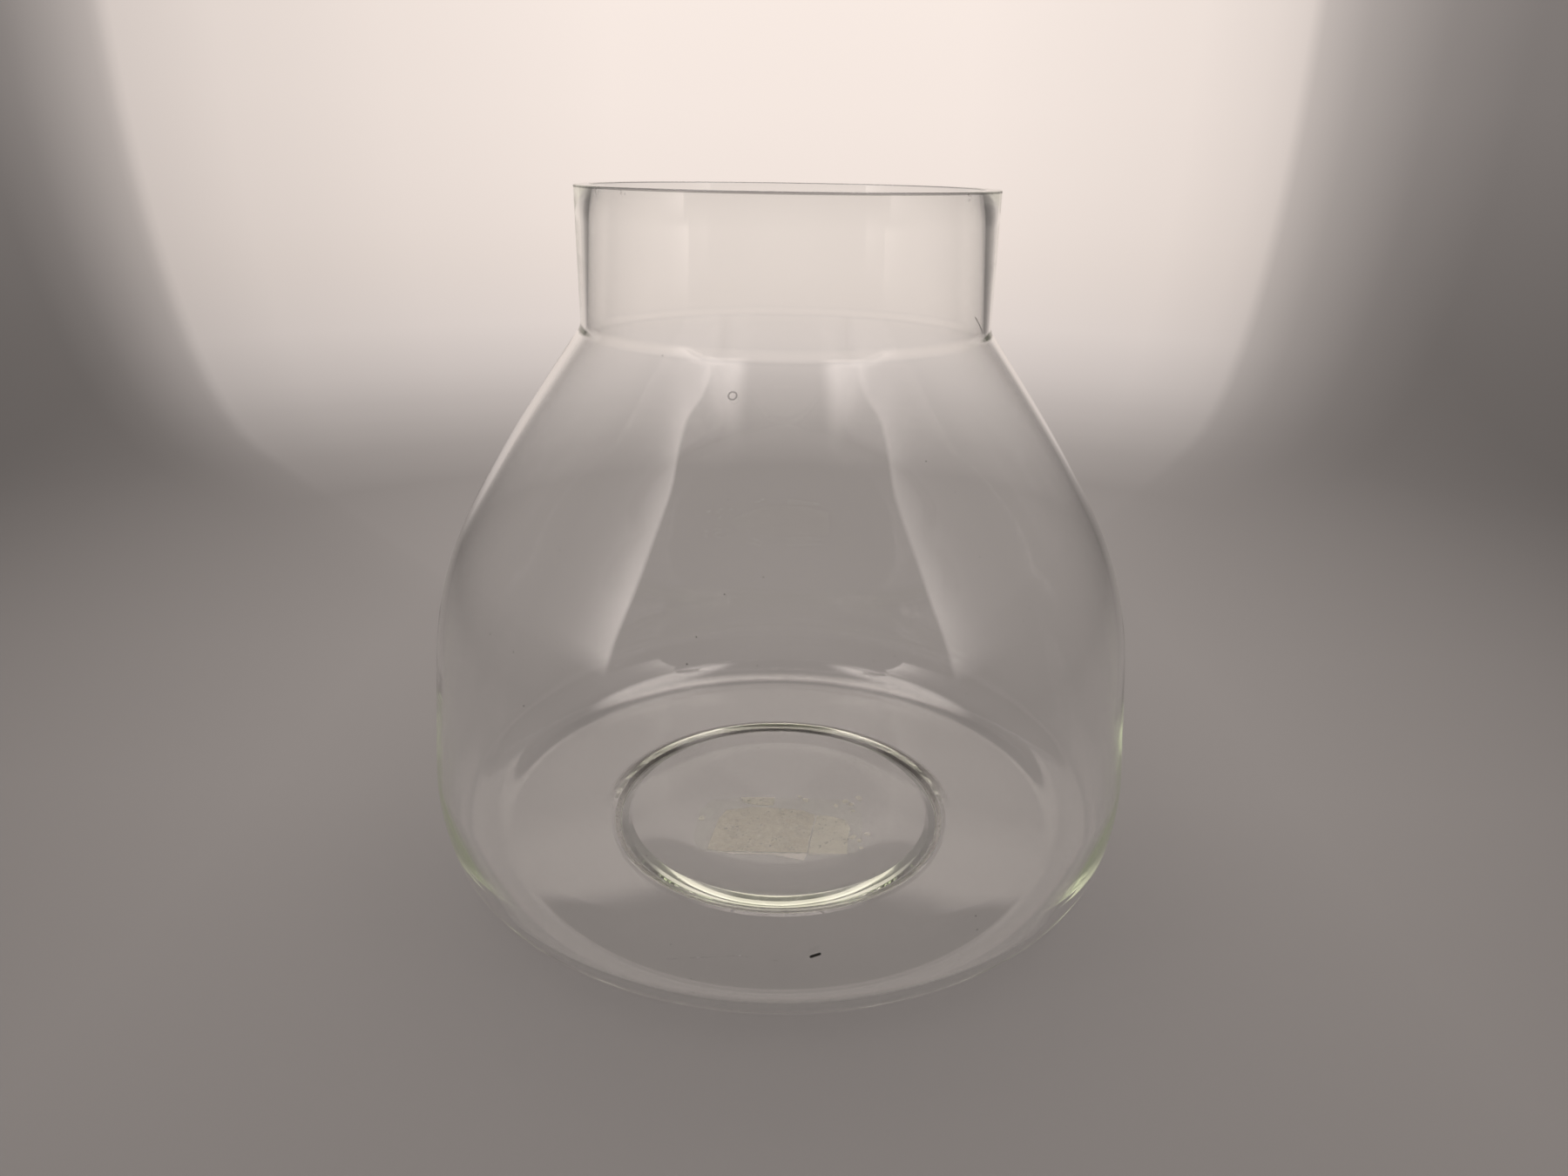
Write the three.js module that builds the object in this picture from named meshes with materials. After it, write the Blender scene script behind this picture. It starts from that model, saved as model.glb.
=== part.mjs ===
// Glass wasp trap jar: one blown body with a wide cut neck, and under its base the remains of a
// torn paper label. Millimetres, +Z up. The origin is the centre of the base, on the surface that
// the jar stands on, and the label lies on the -Y side.

import * as THREE from 'three';

// ---- Driving dimensions of the glass ----

const HEIGHT = 155;              // standing surface to the cut rim
const NECK_RADIUS = 44.75;       // outside of the straight neck
const NECK_HEIGHT = 27.4;        // rim down to the waist
const WAIST_FILLET = 4;          // hollow rounding between shoulder and neck
const SHOULDER_TOP_ANGLE = 35.8; // shoulder from upright, at the waist, degrees
const SHOULDER_LOW_ANGLE = 29;   // shoulder from upright, at the belly, degrees
const BELLY_RADIUS = 80;         // rounding between shoulder and wall
const WALL_LEAN = 5.5;           // lower wall, leaning in from upright, degrees
const WALL_LENGTH = 26.8;        // straight stretch of the lower wall
const BODY_RADIUS = 83.8;        // outside of the jar at its widest
const HEEL_UPPER_RADIUS = 46.2;  // slow rounding under the wall
const HEEL_JOIN_ANGLE = 15.2;    // where the slow rounding meets the tight one, degrees
const HEEL_RADIUS = 14.6;        // tight rounding into the base
const UNDERSIDE_RISE = 0.2;      // underside next to the heel, from level, degrees
const LEVEL_RADIUS = 51;         // level underside round the bearing ring reaches out to here
const UNDERSIDE_LIFT = 0.9;      // that underside, above the standing surface
const RING_RADIUS = 41.8;        // middle of the bead that the jar stands on
const RING_WIDTH = 1.2;          // flat width of the bead
const RING_OUTER_SIDE = 0.8;     // radial width of its outer side
const RING_INNER_SIDE = 0.4;     // radial width of its inner side
const RECESS_DEPTH = 0.7;        // pushed-up middle of the underside

// ---- Floor inside the jar: a raised middle with a gentle edge, a steep slope down from it, and
// a trough over the bearing ring ----

const MIDDLE_HEIGHT = 3.8;
const MIDDLE_RADIUS = 32;
const SLOPE_HEIGHT = 2.9;        // top of the steep slope
const SLOPE_RADIUS = 38.3;
const TROUGH_HEIGHT = 1.4;
const TROUGH_RADIUS = 41.3;
const TROUGH_OUTER_RADIUS = 43.6;
const CORNER_REACH = 0.35;       // rounding of the corners in the base
const CORNER_SHARE = 0.4;        // most of a side that one rounding may take

// ---- Glass thickness ----

const BASE_WALL = 1.9;
const HEEL_WALL = 1.9;
const LOW_WALL = 1.6;
const BELLY_WALL = 1.5;
const WAIST_WALL = 1.8;
const RIM_WALL = 3.2;
const RIM_EDGE = 0.3;            // softened edges of the cut rim

// ---- Label remains, stuck to the roof of the recess ----

const LABEL_WIDTH = 44;
const LABEL_DEPTH = 25;
const LABEL_CENTRE_Y = -9.1;
const LABEL_CORNER = 1.5;
const GLUE_THICKNESS = 0.06;
const PAPER_THICKNESS = 0.12;
const TEAR_GAP = 0.4;            // bare line between two torn pieces
const FLECK_RADIUS = 0.9;
const FLECK_SPACING = 2.1;
const FLECK_SMALLEST = 0.6;      // share of the full size
const FLECK_WAVES = [0.18, 0.12]; // raggedness of the outline, slow and quick

// ---- Facets ----

const TURN_SEGMENTS = 64;
const ARC_STEPS = 5;
const HEEL_STEPS = 7;
const CORNER_STEPS = 2;
const FLECK_CORNERS = 9;

const GOLDEN_ANGLE = Math.PI * (3 - Math.sqrt(5));
const UPRIGHT = 0;

const radians = THREE.MathUtils.degToRad;

// A wall followed along its outer face. Each step goes on from the last one and brings the glass
// to a new thickness by its end. A heading is an angle from straight up, positive outwards.
class Wall {
  constructor(radius, height, heading, thickness) {
    this.stations = [];
    this.add(radius, height, heading, thickness);
  }

  get last() {
    return this.stations[this.stations.length - 1];
  }

  add(radius, height, heading, thickness) {
    this.stations.push({ radius, height, heading, thickness });
  }

  straight(length, thickness) {
    const { radius, height, heading } = this.last;
    this.add(radius + length * Math.sin(heading), height + length * Math.cos(heading), heading, thickness);
    return this;
  }

  bend(bendRadius, toHeading, thickness, steps = ARC_STEPS) {
    const start = this.last;
    const side = Math.sign(toHeading - start.heading) * bendRadius;
    for (let i = 1; i <= steps; i++) {
      const heading = THREE.MathUtils.lerp(start.heading, toHeading, i / steps);
      this.add(
        start.radius + side * (Math.cos(start.heading) - Math.cos(heading)),
        start.height + side * (Math.sin(heading) - Math.sin(start.heading)),
        heading,
        THREE.MathUtils.lerp(start.thickness, thickness, THREE.MathUtils.smoothstep(i / steps, 0, 1)),
      );
    }
    return this;
  }

  // A gently bowed stretch that ends at a given point with a given heading.
  reach(radius, height, heading, thickness, steps = ARC_STEPS) {
    const start = this.last;
    const from = new THREE.Vector2(start.radius, start.height);
    const to = new THREE.Vector2(radius, height);
    const handle = from.distanceTo(to) / 3;
    const bow = new THREE.CubicBezierCurve(
      from,
      from.clone().add(new THREE.Vector2(Math.sin(start.heading), Math.cos(start.heading)).multiplyScalar(handle)),
      to.clone().sub(new THREE.Vector2(Math.sin(heading), Math.cos(heading)).multiplyScalar(handle)),
      to,
    );
    for (let i = 1; i <= steps; i++) {
      const point = bow.getPoint(i / steps);
      const along = bow.getTangent(i / steps);
      this.add(
        point.x,
        point.y,
        Math.atan2(along.x, along.y),
        THREE.MathUtils.lerp(start.thickness, thickness, THREE.MathUtils.smoothstep(i / steps, 0, 1)),
      );
    }
    return this;
  }

  outerPoints() {
    return this.stations.map((s) => new THREE.Vector2(s.radius, s.height));
  }

  innerPoints() {
    return this.stations.map((s) => new THREE.Vector2(
      s.radius - s.thickness * Math.cos(s.heading),
      s.height + s.thickness * Math.sin(s.heading),
    ));
  }
}

// The side of the jar, from the level underside up to the rim.
function sideWall() {
  const join = radians(HEEL_JOIN_ANGLE);
  const underside = radians(90 - UNDERSIDE_RISE);
  const heelStart = BODY_RADIUS
    - HEEL_UPPER_RADIUS * (1 - Math.cos(join))
    - HEEL_RADIUS * (Math.cos(join) - Math.cos(underside));
  const shoulderTop = radians(SHOULDER_TOP_ANGLE);
  const waistHeight = HEIGHT - NECK_HEIGHT;

  return new Wall(LEVEL_RADIUS, UNDERSIDE_LIFT, underside, BASE_WALL)
    .straight((heelStart - LEVEL_RADIUS) / Math.sin(underside), BASE_WALL)
    .bend(HEEL_RADIUS, join, HEEL_WALL, HEEL_STEPS)
    .bend(HEEL_UPPER_RADIUS, -radians(WALL_LEAN), LOW_WALL)
    .straight(WALL_LENGTH, BELLY_WALL)
    .bend(BELLY_RADIUS, -radians(SHOULDER_LOW_ANGLE), BELLY_WALL)
    .reach(
      NECK_RADIUS + WAIST_FILLET * (1 - Math.cos(shoulderTop)),
      waistHeight - WAIST_FILLET * Math.sin(shoulderTop),
      -shoulderTop,
      BELLY_WALL,
    )
    .bend(WAIST_FILLET, UPRIGHT, WAIST_WALL)
    .straight(NECK_HEIGHT, RIM_WALL);
}

// An outline through the given corners, from its first point to its last, with each corner between
// them rounded off.
function softened(corners) {
  const points = corners.map(([radius, height]) => new THREE.Vector2(radius, height));
  const outline = [points[0]];
  for (let i = 1; i < points.length - 1; i++) {
    const towards = (other) => {
      const way = other.clone().sub(points[i]);
      return points[i].clone().add(way.clone().setLength(Math.min(CORNER_REACH, CORNER_SHARE * way.length())));
    };
    const bow = new THREE.QuadraticBezierCurve(towards(points[i - 1]), points[i], towards(points[i + 1]));
    outline.push(...bow.getPoints(CORNER_STEPS));
  }
  outline.push(points[points.length - 1]);
  return outline;
}

// The underside, from the axis out to the level part round the bearing ring.
function underside() {
  const inner = RING_RADIUS - RING_WIDTH / 2;
  const outer = RING_RADIUS + RING_WIDTH / 2;
  return softened([
    [0, RECESS_DEPTH],
    [inner - RING_INNER_SIDE, RECESS_DEPTH],
    [inner, 0],
    [outer, 0],
    [outer + RING_OUTER_SIDE, UNDERSIDE_LIFT],
    [LEVEL_RADIUS, UNDERSIDE_LIFT],
  ]);
}

// The floor inside, from the level part in to the axis.
function floor() {
  return softened([
    [LEVEL_RADIUS, UNDERSIDE_LIFT + BASE_WALL],
    [TROUGH_OUTER_RADIUS, UNDERSIDE_LIFT + BASE_WALL],
    [TROUGH_RADIUS, TROUGH_HEIGHT],
    [SLOPE_RADIUS, SLOPE_HEIGHT],
    [MIDDLE_RADIUS, MIDDLE_HEIGHT],
    [0, MIDDLE_HEIGHT],
  ]);
}

// The cut rim is level, and both of its edges are softened.
function rim(outside, inside) {
  return [
    new THREE.Vector2(outside, HEIGHT - RIM_EDGE),
    new THREE.Vector2(outside - RIM_EDGE, HEIGHT),
    new THREE.Vector2(inside + RIM_EDGE, HEIGHT),
    new THREE.Vector2(inside, HEIGHT - RIM_EDGE),
  ];
}

function glassBody() {
  const wall = sideWall();
  const profile = [
    ...underside().slice(0, -1),
    ...wall.outerPoints().slice(0, -1),
    ...rim(wall.last.radius, wall.last.radius - RIM_WALL),
    ...wall.innerPoints().slice(0, -1).reverse(),
    ...floor().slice(1),
  ];
  return new THREE.LatheGeometry(profile, TURN_SEGMENTS).rotateX(Math.PI / 2);
}

// A thin sheet that hangs below a level. Its outline is given in half widths and half depths of
// the label, counted from the label's centre.
function sheet(outline, top, thickness) {
  const corners = outline.map(([across, back]) => new THREE.Vector2(
    across * LABEL_WIDTH / 2,
    LABEL_CENTRE_Y + back * LABEL_DEPTH / 2,
  ));
  return flat(corners, top, thickness);
}

function flat(corners, top, thickness) {
  return new THREE.ExtrudeGeometry(new THREE.Shape(corners), { depth: thickness, bevelEnabled: false })
    .translate(0, 0, top - thickness);
}

// The dried glue still covers the whole field that the label had.
function glueFilm() {
  const across = 1 - 2 * LABEL_CORNER / LABEL_WIDTH;
  const back = 1 - 2 * LABEL_CORNER / LABEL_DEPTH;
  return sheet(
    [[-across, -1], [across, -1], [1, -back], [1, back], [across, 1], [-across, 1], [-1, back], [-1, -back]],
    RECESS_DEPTH,
    GLUE_THICKNESS,
  );
}

const PAPER_TOP = RECESS_DEPTH - GLUE_THICKNESS;

// The tear that parts the printed paper from the bare paper, from front to back.
const TEAR = [[0.32, -1], [0.35, -0.55], [0.39, -0.1], [0.43, 0.36]];

function beside(tear, distance) {
  return tear.map(([across, back]) => [across + 2 * distance / LABEL_WIDTH, back]);
}

function printedPaper() {
  const edge = [[0.3, 0.53], [-0.05, 0.62], [-0.3, 0.65], [-0.62, 0.5], [-0.7, 0.17], [-0.79, -0.85], [-0.5, -1]];
  const lowerTip = [[-0.1, -1], [0.28, -1.18]];
  return sheet([...TEAR, ...edge, ...lowerTip], PAPER_TOP, PAPER_THICKNESS);
}

function barePaper() {
  const edge = [[0.62, 0.34], [0.78, 0.2], [0.83, -0.08], [0.79, -0.47], [0.77, -0.95]];
  return sheet([...beside(TEAR, TEAR_GAP), ...edge], PAPER_TOP, PAPER_THICKNESS);
}

function upperStrip() {
  return sheet([[-0.28, 0.72], [-0.06, 0.72], [-0.05, 1], [-0.46, 0.98], [-0.44, 0.86]], PAPER_TOP, PAPER_THICKNESS);
}

// A crumb of paper with a ragged round outline.
function fleck(x, y, number) {
  const share = (1 + Math.sin(number * GOLDEN_ANGLE)) / 2;
  const size = FLECK_RADIUS * THREE.MathUtils.lerp(FLECK_SMALLEST, 1, share);
  const corners = [];
  for (let i = 0; i < FLECK_CORNERS; i++) {
    const turn = 2 * Math.PI * i / FLECK_CORNERS;
    const waves = FLECK_WAVES.map((depth, k) => depth * Math.sin((k + 2) * turn + (k + 1) * number));
    const reach = size * (1 + waves[0] + waves[1]);
    corners.push(new THREE.Vector2(x + reach * Math.cos(turn), y + reach * Math.sin(turn)));
  }
  return flat(corners, PAPER_TOP, PAPER_THICKNESS);
}

// Crumbs lie in loose groups, each spread evenly about its own centre.
function flecks() {
  const groups = [
    { across: 0.87, back: 0.8, count: 5 },
    { across: 0.92, back: -0.5, count: 4 },
    { across: 0.32, back: 0.93, count: 2 },
    { across: -0.9, back: 0.2, count: 1 },
  ];
  const geometries = [];
  for (const { across, back, count } of groups) {
    for (let i = 0; i < count; i++) {
      const away = FLECK_SPACING * Math.sqrt(i);
      const turn = i * GOLDEN_ANGLE;
      geometries.push(fleck(
        across * LABEL_WIDTH / 2 + away * Math.cos(turn),
        LABEL_CENTRE_Y + back * LABEL_DEPTH / 2 + away * Math.sin(turn),
        geometries.length,
      ));
    }
  }
  return geometries;
}

const clearGlass = { color: 0xdfe2d4, roughness: 0.05, metalness: 0, transparent: true, opacity: 0.35 };
const driedGlue = { color: 0xa9a498, roughness: 0.5, metalness: 0, transparent: true, opacity: 0.5 };
const printed = { color: 0xa79d90, roughness: 0.85, metalness: 0 };
const bare = { color: 0xb8b2a7, roughness: 0.85, metalness: 0 };

function piece(name, geometry, finish) {
  const mesh = new THREE.Mesh(geometry, new THREE.MeshStandardMaterial(finish));
  mesh.name = name;
  return mesh;
}

const trap = new THREE.Group();
trap.add(piece('glass_body', glassBody(), clearGlass));

const label = new THREE.Group();
label.add(piece('label_glue_film', glueFilm(), driedGlue));
label.add(piece('label_printed_paper', printedPaper(), printed));
label.add(piece('label_bare_paper', barePaper(), bare));
label.add(piece('label_upper_strip', upperStrip(), bare));
flecks().forEach((geometry, i) => label.add(piece(`paper_fleck_${i + 1}`, geometry, bare)));
trap.add(label);

export default trap;
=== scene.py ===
"""A clear blown-glass wasp trap jar with the remains of a torn label under its base.

Metres, +Z up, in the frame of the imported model. The jar stands on the ground of a round studio
bowl that glows softly: bright behind the jar and at the back and sides of its top, dim at the
sides and in front, with a narrow upright light on each side of the front.
"""

import math

import bmesh
import bpy
from mathutils import Euler, Matrix, Vector, noise


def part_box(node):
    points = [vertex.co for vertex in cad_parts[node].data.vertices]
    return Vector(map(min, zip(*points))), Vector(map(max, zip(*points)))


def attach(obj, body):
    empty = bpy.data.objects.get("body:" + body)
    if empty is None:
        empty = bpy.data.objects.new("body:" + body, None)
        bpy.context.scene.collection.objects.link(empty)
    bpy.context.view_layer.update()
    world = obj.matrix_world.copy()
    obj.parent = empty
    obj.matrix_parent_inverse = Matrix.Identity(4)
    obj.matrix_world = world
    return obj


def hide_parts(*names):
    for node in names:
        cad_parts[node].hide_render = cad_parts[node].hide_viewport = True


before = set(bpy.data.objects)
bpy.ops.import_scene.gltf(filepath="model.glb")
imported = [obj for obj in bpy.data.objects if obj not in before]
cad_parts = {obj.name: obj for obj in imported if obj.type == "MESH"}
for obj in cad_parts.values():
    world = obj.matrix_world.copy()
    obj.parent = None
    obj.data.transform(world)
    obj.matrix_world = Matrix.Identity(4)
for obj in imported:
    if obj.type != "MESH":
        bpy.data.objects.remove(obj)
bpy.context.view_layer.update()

MM = 0.001
GLASS = "glass_body"

# ---- The jar's outline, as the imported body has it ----

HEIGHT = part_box(GLASS)[1].z
NECK_RADIUS = 44.75 * MM
NECK_HEIGHT = 27.4 * MM
WAIST_FILLET = 4 * MM
SHOULDER_TOP_ANGLE = math.radians(35.8)
SHOULDER_LOW_ANGLE = math.radians(29)
BELLY_RADIUS = 80 * MM
WALL_LEAN = math.radians(5.5)
WALL_LENGTH = 26.8 * MM
BODY_RADIUS = 83.8 * MM
HEEL_UPPER_RADIUS = 46.2 * MM
HEEL_JOIN_ANGLE = math.radians(15.2)
HEEL_RADIUS = 14.6 * MM
UNDERSIDE_RISE = math.radians(0.2)
LEVEL_RADIUS = 51 * MM
UNDERSIDE_LIFT = 0.9 * MM
RING_RADIUS = 41.8 * MM
RING_WIDTH = 1.2 * MM
RING_OUTER_SIDE = 0.8 * MM
RING_INNER_SIDE = 0.4 * MM
RECESS_DEPTH = 0.7 * MM

MIDDLE_HEIGHT = 3.8 * MM
MIDDLE_RADIUS = 32 * MM
SLOPE_HEIGHT = 2.9 * MM
SLOPE_RADIUS = 38.3 * MM
SLOPE_REACH = 0.2 * MM
TROUGH_HEIGHT = 1.4 * MM
TROUGH_RADIUS = 41.3 * MM
TROUGH_OUTER_RADIUS = 43.6 * MM
CORNER_REACH = 0.2 * MM
MIDDLE_REACH = 5.5 * MM
CORNER_SUPPORT = 0.1 * MM

BASE_WALL = 1.9 * MM
HEEL_WALL = 1.9 * MM
LOW_WALL = 1.6 * MM
BELLY_WALL = 1.5 * MM
WAIST_WALL = 1.8 * MM
RIM_WALL = 3.2 * MM
RIM_EDGE = 0.3 * MM
RIM_EDGE_STEPS = 4

TURN_SEGMENTS = 320
ARC_STEPS = 10
HEEL_STEPS = 20
SHOULDER_STEPS = 16
STRAIGHT_STEPS = 4
CORNER_STEPS = 12
MERGE_DISTANCE = 0.0005 * MM

# ---- Label remains, under the middle of the base ----

LABEL_WIDTH = 44 * MM
LABEL_DEPTH = 25 * MM
LABEL_CENTRE_Y = -9.1 * MM
LABEL_GAP = 0.03 * MM
FILM_THICKNESS = 0.01 * MM
FILM_RAGGED = 0.3 * MM
PAPER_DROP = 0.06 * MM
PAPER_THICKNESS = 0.1 * MM
PAPER_RAGGED = 0.15 * MM
TEAR_CUTS = 24
TEAR_PITCH = 2600
TEAR_SHIFT = Vector((0, 0, 9))

# Outlines, gaps and edges in shares of half of the label's width and depth, from its centre.
TEAR = [(0.32, -1), (0.35, -0.55), (0.39, -0.1), (0.43, 0.36)]
TEAR_GAP = 0.018
PRINTED_EDGE = [
    (0.3, 0.53), (-0.05, 0.62), (-0.3, 0.65), (-0.62, 0.5), (-0.7, 0.17), (-0.79, -0.85), (-0.5, -1),
    (-0.1, -1), (0.28, -1.18),
]
BARE_EDGE = [(0.62, 0.34), (0.78, 0.2), (0.83, -0.08), (0.79, -0.47), (0.77, -0.95)]
UPPER_EDGE = [(-0.28, 0.72), (-0.06, 0.72), (-0.05, 1), (-0.46, 0.98), (-0.44, 0.86)]
FILM_EDGE = [
    (-0.96, -0.5), (-0.93, 0.5), (-0.8, 0.92), (0.1, 0.96), (0.84, 0.95), (0.97, 0.55), (0.96, -0.6),
    (0.86, -0.95), (0.0, -0.97), (-0.87, -0.94),
]
INK_BACK = (0.42, 0.52)
TORN_FRONT = (-0.97, -0.93)
GLUE_FRONT = (-0.95, -0.92)

# ---- Wear, painted shade and small marks on the glass ----

# Each pair is where an edge starts to fade and where the fading ends.
WORN_INNER = (41.3 * MM, 41.4 * MM)
WORN_OUTER = (43.05 * MM, 43.3 * MM)
WORN_TOP = (0.7 * MM, 0.85 * MM)
WORN_SHARES = (0.6, 1.0)
# Painted shade: a band of matt glass outside the back of the foot ring, coloured grey where it is shaded.
PAINTED_SHADE_INNER = (42.9 * MM, 43.3 * MM)
PAINTED_SHADE_OUTER = (44.6 * MM, 46.6 * MM)
PAINTED_SHADE_BACK = (-4 * MM, 20 * MM)
PAINTED_SHADE_TOP = (1.2 * MM, 1.6 * MM)
PAINTED_SHADE_SHARES = (0.7, 0.9)
# Where the matt glass is grey instead of white: painted shade at the back of the foot and its ring.
GREY_BACK = (-5 * MM, 25 * MM)
GREY_OUTER = (45 * MM, 50 * MM)
GREY_TOP = (2 * MM, 3 * MM)
CUT_LOW = (HEIGHT - 0.35 * MM, HEIGHT - 0.25 * MM)
CUT_STRENGTH = 0.25
LIP_LOW = (HEIGHT - 0.6 * MM, HEIGHT - 0.45 * MM)
LIP_HIGH = (HEIGHT - 0.2 * MM, HEIGHT - 0.1 * MM)
LIP_OUTSIDE = (NECK_RADIUS - 0.6 * MM, NECK_RADIUS - 0.4 * MM)
LIP_FRONT = (-12 * MM, 5 * MM)
LIP_STRENGTH = 0.5

# A place is in degrees to the right of the front and in height. A stroke is its start, its end,
# half of its width and its strength, and its edge is in shares of half of its width.
STROKE_EDGE = (0.4, 1.6)
SCRATCHES = [
    ((-49, 112 * MM), (-37, 109 * MM), 0.05 * MM, 0.5),
    ((-46.5, 110 * MM), (-37.5, 107 * MM), 0.04 * MM, 0.35),
    ((-10, 22 * MM), (-4.5, 23.5 * MM), 0.07 * MM, 0.45),
    ((-4.5, 23.5 * MM), (1, 22.5 * MM), 0.06 * MM, 0.45),
    ((-14, 20.5 * MM), (-10, 22 * MM), 0.05 * MM, 0.3),
]
DARK_STROKES = [
    ((57.5, 131.5 * MM), (63, 128.5 * MM), 0.14 * MM, 0.7),
    ((63, 128.5 * MM), (65, 126 * MM), 0.12 * MM, 0.6),
    ((4.5, 23.5 * MM), (5.5, 24 * MM), 0.3 * MM, 1.0),
]
CHIP_TURNS = (-54, 49.5, -42.5)
CHIP_HEIGHT = HEIGHT - 0.8 * MM
CHIP_EDGE = (0.5 * MM, 0.95 * MM)
CHIP_STRENGTH = 0.6
NICK = (-11, 120 * MM)
NICK_INSIDE = (0.5 * MM, 0.7 * MM)
NICK_OUTSIDE = (0.85 * MM, 1.0 * MM)
NICK_STRENGTH = 0.45
SPECK_PITCH = 150.0
SPECK_CHOICE = (0.35, 0.4)
SPECK_SIZE = (0.015, 0.024)
SPECK_STRENGTH = 0.8

# ---- Grain of the materials ----

# A grain is its pitch per metre, its detail and its roughness.
WAVES = (55.0, 1.0, 0.5)
WAVE_STRETCH = (1.0, 1.0, 0.35)
WAVE_HEIGHT = 0.03 * MM
WEAR = (1100.0, 3.0, 0.7)
WEAR_EDGE = (0.35, 0.5)
BREAKS = (700.0, 2.0, 0.5)
BREAKS_EDGE = (0.35, 0.5)
CHIPPING = (1400.0, 2.0, 0.5)
CHIPPING_EDGE = (0.42, 0.55)
CUT = (900.0, 3.0, 0.5)
CUT_EDGE = (0.6, 0.7)
FIBRES = (1600.0, 4.0, 0.7)
FIBRE_STRETCH = (1.0, 3.0, 1.0)
FIBRE_SHADES = (0.88, 1.12)
BLOTCHES = (800.0, 4.0, 0.75)
BLOTCH_EDGE = (0.44, 0.58)
SWIRL = (170.0, 2.0, 0.5)
SWIRL_TURNS = 150
SWIRL_SLANT = 0.6
SWIRL_EDGE = (-0.4, 0.5)
SWIRL_SHARES = (0.4, 1.0)
EVEN_STAIN = 0.25
GLUE = (230.0, 5.0, 0.7)
GLUE_EDGE = (0.4, 0.68)
CRUMBS = (1300.0, 2.0, 0.5)
CRUMB_EDGE = (0.6, 0.68)
EVEN_MILK = 0.04
PATCH_MILK = 0.1
CRUMB_MILK = 0.5
FRONT_MILK = 0.4
FRONT_MILK_RIGHT = (0, 12 * MM)

# ---- Colours and clearness ----

CLEAR = (1.0, 1.0, 1.0, 1.0)
GLASS_IOR = 1.51
GLASS_TINT = (0.87, 0.95, 0.765, 1.0)
GLASS_DENSITY = 9.0
WORN_WHITE = (0.95, 0.94, 0.91, 1.0)
# Grey for the matt glass at the back of the foot: painted shade on the worn ring and on the band outside
# it.
WORN_AND_SHADE_GREY = (0.27, 0.26, 0.24, 1.0)
DIRT = (0.03, 0.028, 0.025, 1.0)
PRINTED_TONE = (0.93, 0.89, 0.8, 1.0)
PRINTED_STAIN = (0.56, 0.49, 0.41, 1.0)
PRINTED_INK = 0.6
BARE_TONE = (0.93, 0.9, 0.82, 1.0)
BARE_STAIN = (0.8, 0.76, 0.68, 1.0)
BARE_INK = 0.3
TORN_TONE = (1.0, 0.98, 0.93, 1.0)
PAPER_ROUGHNESS = 0.85
PAPER_IOR = 1.45
GLUE_CLEAR = (0.985, 0.99, 0.975, 1.0)
GLUE_MILK = (0.86, 0.87, 0.8, 1.0)

# ---- Camera ----

CAMERA_AWAY = 245.3 * MM
CAMERA_RIGHT = 0.5 * MM
CAMERA_HEIGHT = 159.8 * MM
CAMERA_DOWN = math.radians(21.41)
CAMERA_ROLL = math.radians(0.88)
CAMERA_LENS = 24.96
SENSOR_WIDTH = 36
NEAREST_SEEN = 0.01
FARTHEST_SEEN = 20
LIGHT_BOUNCES = 128

# ---- Studio bowl: metres, and degrees round from behind the jar ----

GROUND_RADIUS = 0.48
COVE_RADIUS = 0.22
WALL_TOP = 0.9
DOME_RISE = 0.5
BOWL_SEGMENTS = 96
BOWL_COLOUR = (0.1, 0.098, 0.095, 1.0)
BOWL_GLOW = 0.2
GLOW_TOP = (0.6, 0.9)
GLOW_TINT = (1.0, 0.9, 0.855, 1.0)
BACK_TINT = (1.0, 0.884, 0.816, 1.0)
BACK_TINT_LOW = (0.0, 0.1)
# Painted shade: shares of the bowl's full paleness and glow, across from the middle and along from front
# to back, darker towards the sides and the front.
SHADE_WIDTHS = (0.0, 0.5)
SHADE_ACROSS = [(0.0, 1.0), (0.28, 1.0), (0.48, 0.8), (0.68, 0.6), (0.84, 0.47), (1.0, 0.42)]
SHADE_DEPTHS = (-0.5, 0.1)
SHADE_ALONG = [
    (0.0, 0.38), (0.1, 0.42), (0.5, 0.72), (0.65, 0.82), (0.75, 0.87), (0.85, 0.96), (1.0, 1.0),
]
# Brightness along each range of the bowl, as shares of the range. The backdrop's range runs out
# over the ground and up the wall, and its edges are two corners with dimmer walls beside them.
BACK_RUN = (0.36, 1.24)
BACK_TOP = (0.53, 0.57)
BACK_TONES = [
    (0.0, 0.02), (0.03, 0.05), (0.09, 0.1), (0.16, 0.18), (0.21, 0.25), (0.26, 0.34), (0.34, 0.45),
    (0.41, 0.49), (0.48, 0.53), (0.54, 0.55), (0.66, 0.57), (0.88, 0.6), (0.93, 0.95), (1.0, 1.0),
]
BACK_TURNS = (-50.0, 50.0)
BACK_EDGES = [
    (0.04, 0.0), (0.06, 0.08), (0.08, 0.25), (0.1, 0.45), (0.108, 0.78), (0.16, 0.93), (0.25, 1.0),
    (0.75, 1.0), (0.79, 0.9), (0.808, 0.8), (0.816, 0.5), (0.84, 0.28), (0.88, 0.08), (0.92, 0.0),
]
SIDE_TO_FRONT = (105, 140)
SIDE_HEIGHTS = (0.0, 0.5)
SIDE_TONES = [(0.0, 0.0), (0.1, 0.02), (0.4, 0.09), (1.0, 0.15)]
FRONT_TONES = [(0.0, 0.0), (0.1, 0.05), (1.0, 0.08)]
CEILING_LOW = (0.95, 1.1)
CEILING_BACK = (0.12, 0.35)
CEILING_SIDES = (0.25, 0.4)
CEILING_GLOW = 3.1
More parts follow.
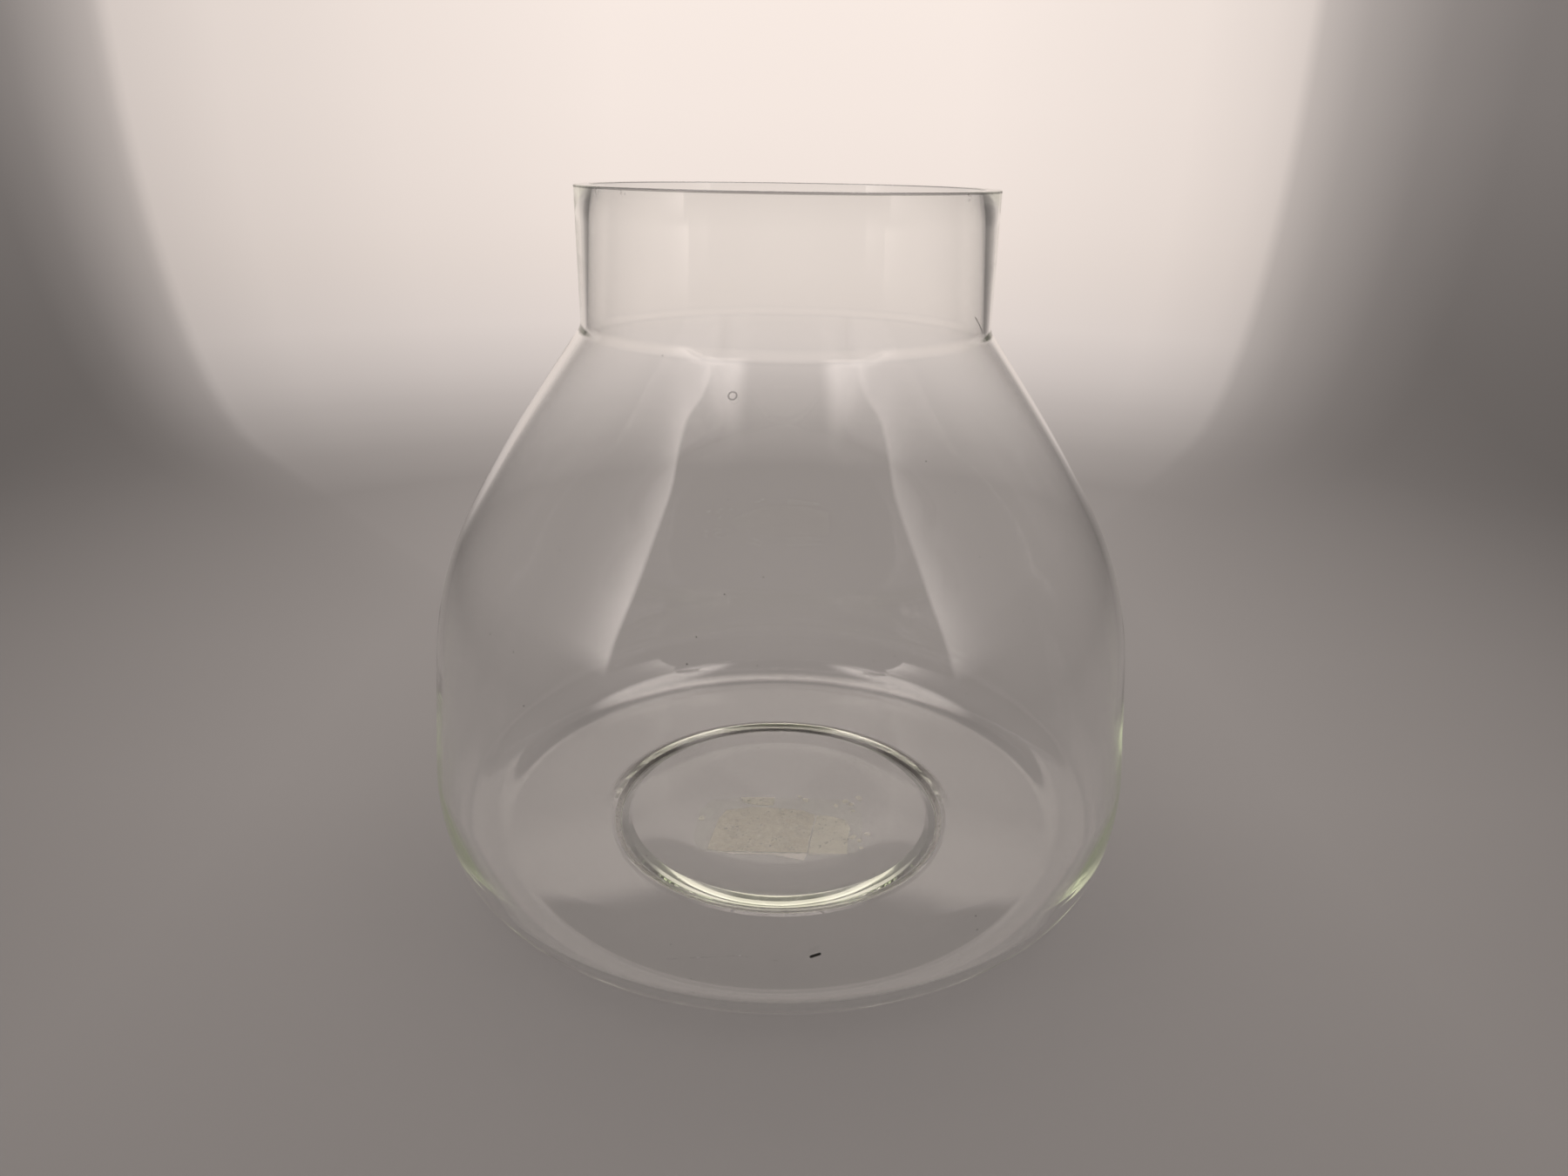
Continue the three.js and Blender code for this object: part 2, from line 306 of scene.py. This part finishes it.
# Each upright light has a hard edge towards the front, with a notch in it, and fades to the back.
STRIP_EDGE = 128.5
STRIP_EDGE_FADE = (0.0, 0.8)
STRIP_NOTCH = 5
STRIP_NOTCH_LOW = (0.70, 0.88)
STRIP_NOTCH_HIGH = (0.88, 1.0)
STRIP_WIDTHS = (0.0, 32.0)
STRIP_FADE = [(0.0, 1.0), (0.08, 0.86), (0.2, 0.55), (0.35, 0.28), (0.5, 0.13), (0.7, 0.05), (1.0, 0.0)]
STRIP_HEIGHTS = (0.14, 1.1)
STRIP_TONES = [(0.0, 0.0), (0.08, 2.3), (0.3, 3.0), (0.45, 2.3), (0.75, 2.1), (1.0, 1.0)]
STRIP_MIDDLE = (-1, 1)
STRIP_RIGHT_SHARE = 0.62



# ---- Small helpers ----

def ease(value):
    """0 to 1 with level ends."""
    return value * value * (3 - 2 * value)


def mix(low, high, share):
    return low + (high - low) * share


def label_depth(share):
    """The place along Y at a share of half of the label's depth, from its centre."""
    return LABEL_CENTRE_Y + share * LABEL_DEPTH / 2


class Wall:
    """A glass wall followed along its outer face. Each step goes on from the last one and brings
    the glass to a new thickness by its end. Headings are from straight up, positive outwards."""

    def __init__(self, radius, height, heading, thickness):
        self.stations = [(radius, height, heading, thickness)]

    def straight(self, length, thickness):
        radius, height, heading, start = self.stations[-1]
        for i in range(1, STRAIGHT_STEPS + 1):
            share = i / STRAIGHT_STEPS
            self.stations.append((
                radius + share * length * math.sin(heading),
                height + share * length * math.cos(heading),
                heading,
                mix(start, thickness, share),
            ))
        return self

    def bend(self, bend_radius, to_heading, thickness, steps=ARC_STEPS):
        radius, height, heading, start = self.stations[-1]
        side = math.copysign(bend_radius, to_heading - heading)
        for i in range(1, steps + 1):
            turned = mix(heading, to_heading, i / steps)
            self.stations.append((
                radius + side * (math.cos(heading) - math.cos(turned)),
                height + side * (math.sin(turned) - math.sin(heading)),
                turned,
                mix(start, thickness, ease(i / steps)),
            ))
        return self

    def reach(self, radius, height, heading, thickness):
        """A gently bowed stretch that ends at a given point with a given heading."""
        from_radius, from_height, from_heading, start = self.stations[-1]
        first = Vector((from_radius, from_height))
        last = Vector((radius, height))
        handle = (last - first).length / 3
        second = first + handle * Vector((math.sin(from_heading), math.cos(from_heading)))
        third = last - handle * Vector((math.sin(heading), math.cos(heading)))
        for i in range(1, SHOULDER_STEPS + 1):
            t = i / SHOULDER_STEPS
            s = 1 - t
            point = s**3 * first + 3 * s * s * t * second + 3 * s * t * t * third + t**3 * last
            along = 3 * (s * s * (second - first) + 2 * s * t * (third - second) + t * t * (last - third))
            self.stations.append((
                point.x,
                point.y,
                math.atan2(along.x, along.y),
                mix(start, thickness, ease(t)),
            ))
        return self

    def outer(self):
        return [(radius, height) for radius, height, _, _ in self.stations]

    def inner(self):
        return [
            (radius - wall * math.cos(heading), height + wall * math.sin(heading))
            for radius, height, heading, wall in self.stations
        ]


def softened(corners):
    """An outline from the first corner to the last. Each corner between them has a reach, which
    is how far along both of its sides it is rounded off, and is held by a close point on both."""
    reaches = [corner[2] if len(corner) > 2 else CORNER_REACH for corner in corners]
    corners = [Vector(corner[:2]) for corner in corners]
    outline = [corners[0]]
    for before, corner, after, reach in zip(corners, corners[1:], corners[2:], reaches[1:]):
        ways = [(other - corner).normalized() for other in (before, after)]
        first, last = [corner + way * reach for way in ways]
        outline.append(first + ways[0] * CORNER_SUPPORT)
        for i in range(CORNER_STEPS + 1):
            t = i / CORNER_STEPS
            outline.append((1 - t) ** 2 * first + 2 * t * (1 - t) * corner + t * t * last)
        outline.append(last + ways[1] * CORNER_SUPPORT)
    outline.append(corners[-1])
    return [tuple(point) for point in outline]


def piece(name, bm, material, smooth=True):
    """Turns a bmesh into an object with one material."""
    mesh = bpy.data.meshes.new(name)
    bm.to_mesh(mesh)
    bm.free()
    mesh.materials.append(material)
    for polygon in mesh.polygons:
        polygon.use_smooth = smooth
    obj = bpy.data.objects.new(name, mesh)
    bpy.context.scene.collection.objects.link(obj)
    return obj


def spun(profile, segments):
    """A surface of revolution about the upright axis."""
    bm = bmesh.new()
    verts = [bm.verts.new((radius, 0, height)) for radius, height in profile]
    edges = [bm.edges.new(pair) for pair in zip(verts, verts[1:])]
    bmesh.ops.spin(
        bm, geom=verts + edges, cent=(0, 0, 0), axis=(0, 0, 1), dvec=(0, 0, 0),
        angle=2 * math.pi, steps=segments, use_merge=True, use_duplicate=False,
    )
    bmesh.ops.remove_doubles(bm, verts=bm.verts, dist=MERGE_DISTANCE)
    bmesh.ops.recalc_face_normals(bm, faces=bm.faces)
    return bm


# ---- Shader maths ----

class Field:
    """A socket that can stand in an expression."""

    def __init__(self, maker, socket):
        self.maker = maker
        self.socket = socket

    def math(self, operation, *values):
        return self.maker.node("ShaderNodeMath", {"operation": operation}, *values).out(0)

    def __add__(self, other):
        return self.math("ADD", self, other)

    __radd__ = __add__

    def __sub__(self, other):
        return self.math("SUBTRACT", self, other)

    def __rsub__(self, other):
        return self.math("SUBTRACT", other, self)

    def __mul__(self, other):
        return self.math("MULTIPLY", self, other)

    __rmul__ = __mul__

    def __truediv__(self, other):
        return self.math("DIVIDE", self, other)

    def __pow__(self, other):
        return self.math("POWER", self, other)

    def capped(self):
        return self.math("MINIMUM", self, 1.0)

    def size(self):
        return self.math("ABSOLUTE", self)

    def above(self, low, high):
        """0 below low, 1 above high, eased between them."""
        settings = {"interpolation_type": "SMOOTHSTEP", "clamp": True}
        return self.maker.node("ShaderNodeMapRange", settings, self, low, high, 0.0, 1.0).out(0)

    def below(self, low, high):
        return 1 - self.above(low, high)


class Node:
    def __init__(self, maker, node):
        self.maker = maker
        self.node = node

    def out(self, key):
        return Field(self.maker, self.node.outputs[key])


class Maker:
    """Builds one material's node tree."""

    def __init__(self, name):
        self.material = bpy.data.materials.new(name)
        self.material.use_nodes = True
        self.tree = self.material.node_tree
        self.tree.nodes.clear()
        self.output = self.tree.nodes.new("ShaderNodeOutputMaterial")

    def node(self, kind, settings=None, *values, **named):
        """A node: its settings first, then its sockets in order, then its sockets by name."""
        node = self.tree.nodes.new(kind)
        stops = None
        for key, value in (settings or {}).items():
            if key == "stops":
                stops = value
            else:
                setattr(node, key, value)
        if stops:
            self.set_stops(node.color_ramp, stops)
        for socket, value in zip(node.inputs, values):
            self.feed(socket, value)
        for key, value in named.items():
            self.feed(node.inputs[key.replace("_", " ")], value)
        return Node(self, node)

    @staticmethod
    def set_stops(ramp, stops):
        while len(ramp.elements) < len(stops):
            ramp.elements.new(1.0)
        for element, (place, colour) in zip(ramp.elements, stops):
            element.position = place
            element.color = colour

    def feed(self, socket, value):
        if isinstance(value, Field):
            self.tree.links.new(value.socket, socket)
        elif value is not None:
            socket.default_value = value

    def place(self):
        """Object coordinates as three fields and a vector."""
        vector = self.node("ShaderNodeTexCoord").out("Object")
        split = self.node("ShaderNodeSeparateXYZ", None, vector)
        return vector, split.out(0), split.out(1), split.out(2)

    def curve(self, field, low, high, tones):
        """A value that follows a list of (share of the range, value) stops."""
        share = self.node("ShaderNodeMapRange", {"clamp": True}, field, low, high, 0.0, 1.0).out(0)
        stops = [(place, (tone, tone, tone, 1.0)) for place, tone in tones]
        return self.node("ShaderNodeValToRGB", {"stops": stops}, share).out(0)

    def tinted(self, colour, value):
        """A colour scaled by a value."""
        if not isinstance(colour, Field):
            colour = tuple(colour[:3])
        return self.node("ShaderNodeVectorMath", {"operation": "SCALE"}, colour, Scale=value).out(0)

    def vector(self, operation, *values):
        return self.node("ShaderNodeVectorMath", {"operation": operation}, *values)

    def noise(self, vector, grain):
        pitch, detail, roughness = grain
        return self.node(
            "ShaderNodeTexNoise", None, Vector=vector, Scale=pitch, Detail=detail, Roughness=roughness,
        ).out(0)

    def mix_colour(self, share, first, second):
        """Blends two colours."""
        node = self.tree.nodes.new("ShaderNodeMix")
        node.data_type = "RGBA"
        self.feed(node.inputs[0], share)
        self.feed(node.inputs[6], first)
        self.feed(node.inputs[7], second)
        return Field(self, node.outputs[2])

    def finish(self, surface, volume=None):
        self.tree.links.new(surface.socket, self.output.inputs["Surface"])
        if volume:
            self.tree.links.new(volume.socket, self.output.inputs["Volume"])
        return self.material


# ---- Materials ----

def on_glass(turn, height):
    """The place on the jar's outside at a turn to the right of the front and a height."""
    outline = side_wall().outer()
    below, above = next(pair for pair in zip(outline, outline[1:]) if pair[1][1] >= height)
    radius = mix(below[0], above[0], (height - below[1]) / (above[1] - below[1]))
    angle = math.radians(turn)
    return Vector((radius * math.sin(angle), -radius * math.cos(angle), height))


def near_stroke(make, vector, start, end, half_width):
    """1 on a thin straight mark between two places, 0 away from it."""
    first, last = on_glass(*start), on_glass(*end)
    along = last - first
    offset = make.vector("SUBTRACT", vector, tuple(first)).out(0)
    share = make.vector("DOT_PRODUCT", offset, tuple(along / along.length_squared)).out(1)
    share = make.node("ShaderNodeClamp", None, share, 0.0, 1.0).out(0)
    closest = make.tinted(tuple(along), share)
    away = make.vector("DISTANCE", offset, closest).out(1)
    return away.below(*(edge * half_width for edge in STROKE_EDGE))


def near_place(make, vector, place, edge):
    """1 close to a place, 0 past the edge round it."""
    away = make.vector("DISTANCE", vector, tuple(on_glass(*place))).out(1)
    return away.below(*edge)


def worn_and_shaded_share(make, vector, radius, y, z):
    """How matt the glass is: white where it stands, matt outside the back of that ring as painted shade,
    scratched, chipped under the rim and rough in places on it."""
    grain = make.noise(vector, WEAR).above(*WEAR_EDGE)
    foot = radius.above(*WORN_INNER) * radius.below(*WORN_OUTER) * z.below(*WORN_TOP)
    painted_back_shade = radius.above(*PAINTED_SHADE_INNER) * radius.below(*PAINTED_SHADE_OUTER)
    painted_back_shade = painted_back_shade * y.above(*PAINTED_SHADE_BACK) * z.below(*PAINTED_SHADE_TOP)
    worn_and_shaded = foot * mix(*WORN_SHARES, grain) + painted_back_shade * mix(*PAINTED_SHADE_SHARES, grain)
    for start, end, half_width, strength in SCRATCHES:
        broken = make.noise(vector, BREAKS).above(*BREAKS_EDGE)
        worn_and_shaded = worn_and_shaded + near_stroke(make, vector, start, end, half_width) * broken * strength
    for turn in CHIP_TURNS:
        chip = near_place(make, vector, (turn, CHIP_HEIGHT), CHIP_EDGE)
        worn_and_shaded = worn_and_shaded + chip * make.noise(vector, CHIPPING).above(*CHIPPING_EDGE) * CHIP_STRENGTH
    cut = z.above(*CUT_LOW) * make.noise(vector, CUT).above(*CUT_EDGE)
    return (worn_and_shaded + cut * CUT_STRENGTH).capped()


def dirty_share(make, vector, radius, y, z):
    """How dark the glass is: specks, a line along the front of the rim, strokes and a nick."""
    cell = make.node("ShaderNodeTexVoronoi", None, Vector=vector, Scale=SPECK_PITCH)
    chosen = make.node("ShaderNodeSeparateColor", None, cell.out(1)).out(0).above(*SPECK_CHOICE)
    specks = cell.out(0).below(*SPECK_SIZE) * chosen
    lip = z.above(*LIP_LOW) * z.below(*LIP_HIGH) * radius.above(*LIP_OUTSIDE) * y.below(*LIP_FRONT)
    dark = specks * SPECK_STRENGTH + lip * LIP_STRENGTH
    for start, end, half_width, strength in DARK_STROKES:
        dark = dark + near_stroke(make, vector, start, end, half_width) * strength
    nick = near_place(make, vector, NICK, NICK_OUTSIDE)
    nick = nick * (1 - near_place(make, vector, NICK, NICK_INSIDE))
    return (dark + nick * NICK_STRENGTH).capped()


def jar_glass():
    """Clear, slightly green glass, a little wavy, with wear and dirt in places and painted shade at the
    back of its foot.
    """
    make = Maker("jar_glass")
    vector, x, y, z = make.place()
    radius = (x * x + y * y) ** 0.5
    stretched = make.vector("MULTIPLY", vector, WAVE_STRETCH).out(0)
    waves = make.noise(stretched, WAVES) * WAVE_HEIGHT
    normal = make.node("ShaderNodeBump", None, Strength=1.0, Distance=1.0, Height=waves).out(0)
    clear = make.node(
        "ShaderNodeBsdfPrincipled", None,
        Base_Color=CLEAR, Roughness=0.0, IOR=GLASS_IOR, Transmission_Weight=1.0, Normal=normal,
    ).out(0)
    # Painted shade: the matt glass turns grey at the back of the foot.
    behind = y.above(*GREY_BACK) * radius.below(*GREY_OUTER) * z.below(*GREY_TOP)
    matt = make.node(
        "ShaderNodeBsdfPrincipled", None,
        Base_Color=make.mix_colour(behind, WORN_WHITE, WORN_AND_SHADE_GREY), Roughness=1.0, Specular_IOR_Level=0.0,
    ).out(0)
    dirt = make.node("ShaderNodeBsdfDiffuse", None, Color=DIRT).out(0)
    worn_and_shaded = worn_and_shaded_share(make, vector, radius, y, z)
    dirty = dirty_share(make, vector, radius, y, z)
    surface = make.node("ShaderNodeMixShader", None, worn_and_shaded, clear, matt).out(0)
    surface = make.node("ShaderNodeMixShader", None, dirty, surface, dirt).out(0)
    depth = make.node("ShaderNodeVolumeAbsorption", None, Color=GLASS_TINT, Density=GLASS_DENSITY).out(0)
    return make.finish(surface, depth)


def paper(name, tone, stain, ink_share):
    """Torn paper: fibres, swirling blotches of faded ink and a paler torn edge at the front."""
    make = Maker(name)
    vector, x, y, _ = make.place()
    fibres = make.noise(make.vector("MULTIPLY", vector, FIBRE_STRETCH).out(0), FIBRES)
    blotch = make.noise(vector, BLOTCHES).above(*BLOTCH_EDGE)
    swirl = make.noise(vector, SWIRL) * SWIRL_TURNS + x / MM * SWIRL_SLANT
    lines = swirl.math("SINE", swirl).above(*SWIRL_EDGE)
    ink = blotch * mix(*SWIRL_SHARES, lines) * ink_share
    inked = y.below(*map(label_depth, INK_BACK))
    torn = y.below(*map(label_depth, TORN_FRONT))
    colour = make.mix_colour(EVEN_STAIN * ink_share + (1 - EVEN_STAIN) * ink * inked, tone, stain)
    colour = make.mix_colour(torn, colour, TORN_TONE)
    colour = make.tinted(colour, mix(*FIBRE_SHADES, fibres))
    surface = make.node(
        "ShaderNodeBsdfPrincipled", None,
        Base_Color=colour, Roughness=PAPER_ROUGHNESS, IOR=PAPER_IOR,
    ).out(0)
    return make.finish(surface)


def dried_glue():
    """A thin, patchy, nearly clear film that turns faintly milky green."""
    make = Maker("dried_glue")
    vector, x, y, _ = make.place()
    patches = make.noise(vector, GLUE).above(*GLUE_EDGE)
    crumbs = make.noise(vector, CRUMBS).above(*CRUMB_EDGE)
    front = y.below(*map(label_depth, GLUE_FRONT))
    milky = EVEN_MILK + PATCH_MILK * patches + CRUMB_MILK * crumbs * patches
    milky = milky + FRONT_MILK * front * x.below(*FRONT_MILK_RIGHT)
    clear = make.node("ShaderNodeBsdfTransparent", None, Color=GLUE_CLEAR).out(0)
    milk = make.node("ShaderNodeBsdfDiffuse", None, Color=GLUE_MILK).out(0)
    return make.finish(make.node("ShaderNodeMixShader", None, milky, clear, milk).out(0))


def studio_bowl_finish():
    """A pale matt bowl that glows softly: bright behind the jar, dim at the sides and dim in front,
    with a narrow upright light on each side of the front and a bright back and sides to its top."""
    make = Maker("studio_bowl")
    _, x, y, z = make.place()
    turn = make.node("ShaderNodeMath", {"operation": "ARCTAN2"}, x, y).out(0) * math.degrees(1)
    away = turn.size()
    across = x.size()

    # Painted shade: the bowl's colour, as well as its glow, darkens towards the sides and the front.
    shade = make.curve(across, *SHADE_WIDTHS, SHADE_ACROSS) * make.curve(y, *SHADE_DEPTHS, SHADE_ALONG)
    run = (x * x + y * y) ** 0.5 + z
    back = make.curve(run, *BACK_RUN, BACK_TONES) * z.below(*BACK_TOP)
    backdrop = make.curve(turn, *BACK_TURNS, BACK_EDGES)
    side = make.curve(z, *SIDE_HEIGHTS, SIDE_TONES) * away.below(*SIDE_TO_FRONT)
    front = make.curve(z, *SIDE_HEIGHTS, FRONT_TONES) * away.above(*SIDE_TO_FRONT)
    open_side = (y.above(*CEILING_BACK) + across.above(*CEILING_SIDES)).capped()
    ceiling = z.above(*CEILING_LOW) * open_side * CEILING_GLOW
    soft = shade * z.below(*GLOW_TOP) * BOWL_GLOW
    edge = STRIP_EDGE - STRIP_NOTCH * z.above(*STRIP_NOTCH_LOW) * z.below(*STRIP_NOTCH_HIGH)
    strip = make.curve(edge - away, *STRIP_WIDTHS, STRIP_FADE) * (edge - away).above(*STRIP_EDGE_FADE)
    strip = strip * make.curve(z, *STRIP_HEIGHTS, STRIP_TONES)
    strip = strip * mix(1.0, STRIP_RIGHT_SHARE, turn.above(*STRIP_MIDDLE))
    glow = soft + back * backdrop + side + front + strip + ceiling

    tint = make.mix_colour(backdrop * z.above(*BACK_TINT_LOW), GLOW_TINT, BACK_TINT)
    surface = make.node(
        "ShaderNodeBsdfPrincipled", None,
        Base_Color=make.tinted(BOWL_COLOUR, shade), Roughness=1.0, Specular_IOR_Level=0.0,
        Emission_Color=make.tinted(tint, glow), Emission_Strength=1.0,
    ).out(0)
    return make.finish(surface)


# ---- The jar ----

def side_wall():
    underside = math.pi / 2 - UNDERSIDE_RISE
    heel_start = (
        BODY_RADIUS
        - HEEL_UPPER_RADIUS * (1 - math.cos(HEEL_JOIN_ANGLE))
        - HEEL_RADIUS * (math.cos(HEEL_JOIN_ANGLE) - math.cos(underside))
    )
    waist_height = HEIGHT - NECK_HEIGHT
    wall = Wall(LEVEL_RADIUS, UNDERSIDE_LIFT, underside, BASE_WALL)
    wall.straight((heel_start - LEVEL_RADIUS) / math.sin(underside), HEEL_WALL)
    wall.bend(HEEL_RADIUS, HEEL_JOIN_ANGLE, HEEL_WALL, HEEL_STEPS)
    wall.bend(HEEL_UPPER_RADIUS, -WALL_LEAN, LOW_WALL)
    wall.straight(WALL_LENGTH, BELLY_WALL)
    wall.bend(BELLY_RADIUS, -SHOULDER_LOW_ANGLE, BELLY_WALL)
    wall.reach(
        NECK_RADIUS + WAIST_FILLET * (1 - math.cos(SHOULDER_TOP_ANGLE)),
        waist_height - WAIST_FILLET * math.sin(SHOULDER_TOP_ANGLE),
        -SHOULDER_TOP_ANGLE,
        BELLY_WALL,
    )
    wall.bend(WAIST_FILLET, 0, WAIST_WALL)
    wall.straight(NECK_HEIGHT, RIM_WALL)
    return wall


def rim(outside, inside):
    """The cut rim: level, with both edges softened by a quarter round."""
    turns = [i / RIM_EDGE_STEPS * math.pi / 2 for i in range(RIM_EDGE_STEPS + 1)]
    outer_edge = [
        (outside - RIM_EDGE * (1 - math.cos(a)), HEIGHT - RIM_EDGE * (1 - math.sin(a))) for a in turns
    ]
    inner_edge = [
        (inside + RIM_EDGE * (1 - math.sin(a)), HEIGHT - RIM_EDGE * (1 - math.cos(a))) for a in turns
    ]
    return outer_edge + inner_edge


def ring_underside():
    """The underside, from the axis out over the bearing ring to the level part round it."""
    inner = RING_RADIUS - RING_WIDTH / 2
    outer = RING_RADIUS + RING_WIDTH / 2
    return softened([
        (0, RECESS_DEPTH),
        (inner - RING_INNER_SIDE, RECESS_DEPTH),
        (inner, 0),
        (outer, 0),
        (outer + RING_OUTER_SIDE, UNDERSIDE_LIFT),
        (LEVEL_RADIUS, UNDERSIDE_LIFT),
    ])


def trough_floor():
    """The floor inside, from its level part in through the trough to the raised middle."""
    level = UNDERSIDE_LIFT + BASE_WALL
    return softened([
        (LEVEL_RADIUS, level),
        (TROUGH_OUTER_RADIUS, level),
        (TROUGH_RADIUS, TROUGH_HEIGHT),
        (SLOPE_RADIUS, SLOPE_HEIGHT, SLOPE_REACH),
        (MIDDLE_RADIUS, MIDDLE_HEIGHT, MIDDLE_REACH),
        (0, MIDDLE_HEIGHT),
    ])


def glass_jar():
    wall = side_wall()
    profile = (
        ring_underside()[:-1]
        + wall.outer()[:-1]
        + rim(NECK_RADIUS, NECK_RADIUS - RIM_WALL)
        + wall.inner()[-2::-1]
        + trough_floor()[1:]
    )
    jar = piece("blown_glass_jar", spun(profile, TURN_SEGMENTS), jar_glass())
    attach(jar, "root")
    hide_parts(GLASS)


# ---- Label remains ----

def torn_sheet(
    name, outline, material, drop=PAPER_DROP, thickness=PAPER_THICKNESS, ragged=PAPER_RAGGED,
):
    """A flat scrap under the base, with edges torn in small steps."""
    top = RECESS_DEPTH - drop
    bm = bmesh.new()
    verts = [
        bm.verts.new((across * LABEL_WIDTH / 2, label_depth(back), top)) for across, back in outline
    ]
    edges = [bm.edges.new(pair) for pair in zip(verts, verts[1:] + verts[:1])]
    bmesh.ops.subdivide_edges(bm, edges=edges, cuts=TEAR_CUTS)
    for vert in bm.verts:
        spot = TEAR_PITCH * vert.co
        vert.co.x += ragged * noise.noise(spot)
        vert.co.y += ragged * noise.noise(spot + TEAR_SHIFT)
    bmesh.ops.contextual_create(bm, geom=bm.edges[:])
    sides = bmesh.ops.extrude_face_region(bm, geom=bm.faces[:])
    moved = [item for item in sides["geom"] if isinstance(item, bmesh.types.BMVert)]
    bmesh.ops.translate(bm, verts=moved, vec=(0, 0, -thickness))
    bmesh.ops.triangulate(bm, faces=bm.faces)
    bmesh.ops.recalc_face_normals(bm, faces=bm.faces)
    sheet = piece(name, bm, material, smooth=False)
    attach(sheet, "root")
    return sheet


def label_remains():
    printed = paper("printed_paper_face", PRINTED_TONE, PRINTED_STAIN, PRINTED_INK)
    bare = paper("bare_paper_face", BARE_TONE, BARE_STAIN, BARE_INK)
    film = torn_sheet(
        "dried_glue_film", FILM_EDGE, dried_glue(), LABEL_GAP, FILM_THICKNESS, FILM_RAGGED,
    )
    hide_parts("label_glue_film")
    front = torn_sheet("printed_paper_scrap", TEAR + PRINTED_EDGE, printed)
    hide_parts("label_printed_paper")
    beside = torn_sheet("bare_paper_scrap", [(x + TEAR_GAP, y) for x, y in TEAR] + BARE_EDGE, bare)
    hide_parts("label_bare_paper")
    strip = torn_sheet("upper_paper_scrap", UPPER_EDGE, bare)
    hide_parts("label_upper_strip")
    for name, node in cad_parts.items():
        if name.startswith("paper_fleck"):
            node.data.materials.clear()
            node.data.materials.append(bare)


# ---- Studio ----

def studio():
    turns = [math.pi / 2 * i / ARC_STEPS for i in range(ARC_STEPS + 1)]
    cove = [
        (GROUND_RADIUS + COVE_RADIUS * math.sin(a), COVE_RADIUS * (1 - math.cos(a))) for a in turns
    ]
    wall_radius = GROUND_RADIUS + COVE_RADIUS
    dome = [
        (wall_radius * math.cos(a), WALL_TOP + DOME_RISE * wall_radius * math.sin(a)) for a in turns
    ]
    bm = spun([(0, 0)] + cove + dome, BOWL_SEGMENTS)
    bmesh.ops.reverse_faces(bm, faces=bm.faces)
    bowl = piece("studio_bowl", bm, studio_bowl_finish())


def camera():
    data = bpy.data.cameras.new("camera")
    data.lens = CAMERA_LENS
    data.sensor_width = SENSOR_WIDTH
    data.clip_start = NEAREST_SEEN
    data.clip_end = FARTHEST_SEEN
    obj = bpy.data.objects.new("camera", data)
    obj.location = (CAMERA_RIGHT, -CAMERA_AWAY, CAMERA_HEIGHT)
    aim = Euler((math.pi / 2 - CAMERA_DOWN, 0, 0)).to_matrix()
    obj.rotation_euler = (aim @ Matrix.Rotation(CAMERA_ROLL, 3, "Z")).to_euler()
    bpy.context.scene.collection.objects.link(obj)
    bpy.context.scene.camera = obj


camera()
studio()
glass_jar()
label_remains()

scene = bpy.context.scene
scene.view_settings.view_transform = "Standard"
scene.cycles.max_bounces = LIGHT_BOUNCES
scene.cycles.transmission_bounces = LIGHT_BOUNCES
scene.cycles.glossy_bounces = LIGHT_BOUNCES
